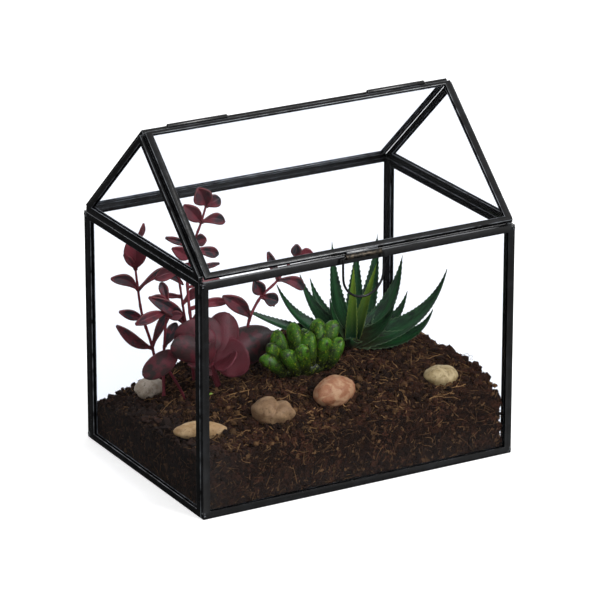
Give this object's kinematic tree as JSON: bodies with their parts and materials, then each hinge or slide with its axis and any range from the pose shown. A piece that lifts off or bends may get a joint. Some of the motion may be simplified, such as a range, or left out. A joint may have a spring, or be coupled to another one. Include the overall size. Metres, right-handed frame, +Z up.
{
  "type": "glass plant terrarium",
  "caption": "House-shaped glass terrarium in black metal edging with a ridge-hinged roof pane and pull ring, planted with burgundy foliage, a toothed aloe and plump succulents in coir soil.",
  "frame": {"origin": "centre of the rectangular footprint, on the surface the case stands on", "axes": "+Z up, X along the ridge, -Y out of the wall below the hinged roof pane"},
  "size_m": [0.2226, 0.1628, 0.2297],
  "materials": {
    "black_metal": "blackened satin finish on folded sheet metal",
    "worn_metal": "blackened tube with the metal showing through where it is handled",
    "clear_glass": "thin clear polished sheet glass",
    "coir_soil": "loose dark brown coir fibre and crumbs",
    "pebble_grey": "matte water-worn stone",
    "pebble_tan": "matte water-worn stone",
    "pebble_beige": "matte water-worn stone",
    "pebble_pink": "matte water-worn stone",
    "pebble_yellow": "matte water-worn stone",
    "burgundy_leaf": "soft-sheened burgundy leaf",
    "aloe_leaf": "waxy dark green succulent leaf",
    "lime_leaf": "young yellow-green leaf",
    "finger_leaf": "glossy plump bright green leaf"
  },
  "bodies": {
    "case": {"base_edging": "black_metal", "base_pane": "clear_glass", "front_wall_edging": "black_metal", "front_wall_pane": "clear_glass", "back_wall_edging": "black_metal", "back_wall_pane": "clear_glass", "left_wall_edging": "black_metal", "left_wall_pane": "clear_glass", "right_wall_edging": "black_metal", "right_wall_pane": "clear_glass", "left_gable_edging": "black_metal", "left_gable_pane": "clear_glass", "right_gable_edging": "black_metal", "right_gable_pane": "clear_glass", "back_roof_edging": "black_metal", "back_roof_pane": "clear_glass", "hinge_barrel_left": "black_metal", "hinge_barrel_right": "black_metal", "soil_bed": "coir_soil", "pebble_grey": "pebble_grey", "pebble_tan": "pebble_tan", "pebble_beige": "pebble_beige", "pebble_pink": "pebble_pink", "pebble_yellow": "pebble_yellow", "burgundy_stem_far_left": "burgundy_leaf", "burgundy_stem_near_left": "burgundy_leaf", "burgundy_stem_middle": "burgundy_leaf", "burgundy_stem_tall": "burgundy_leaf", "burgundy_stem_right": "burgundy_leaf", "burgundy_rosette": "burgundy_leaf", "burgundy_stray_leaf": "burgundy_leaf", "green_sprout": "lime_leaf", "aloe_plant": "aloe_leaf", "aloe_heart": "lime_leaf", "finger_cluster": "finger_leaf"},
    "lid": {"lid_edging": "black_metal", "lid_pane": "clear_glass", "hinge_wire_left": "black_metal", "hinge_wire_right": "black_metal", "pull_tube": "worn_metal"},
    "ring": {"pull_ring": "black_metal"}
  },
  "joints": [
    {"name": "lid_hinge", "type": "hinge", "parent": "case", "child": "lid", "pos_m": [0, 0, 0.22812], "axis": [-1, 0, 0], "range_deg": [0, 180]},
    {"name": "ring_swing", "type": "hinge", "parent": "lid", "child": "ring", "pos_m": [0, -0.08067, 0.15422], "axis": [-1, 0, 0], "range_deg": [0, 150]}
  ]
}
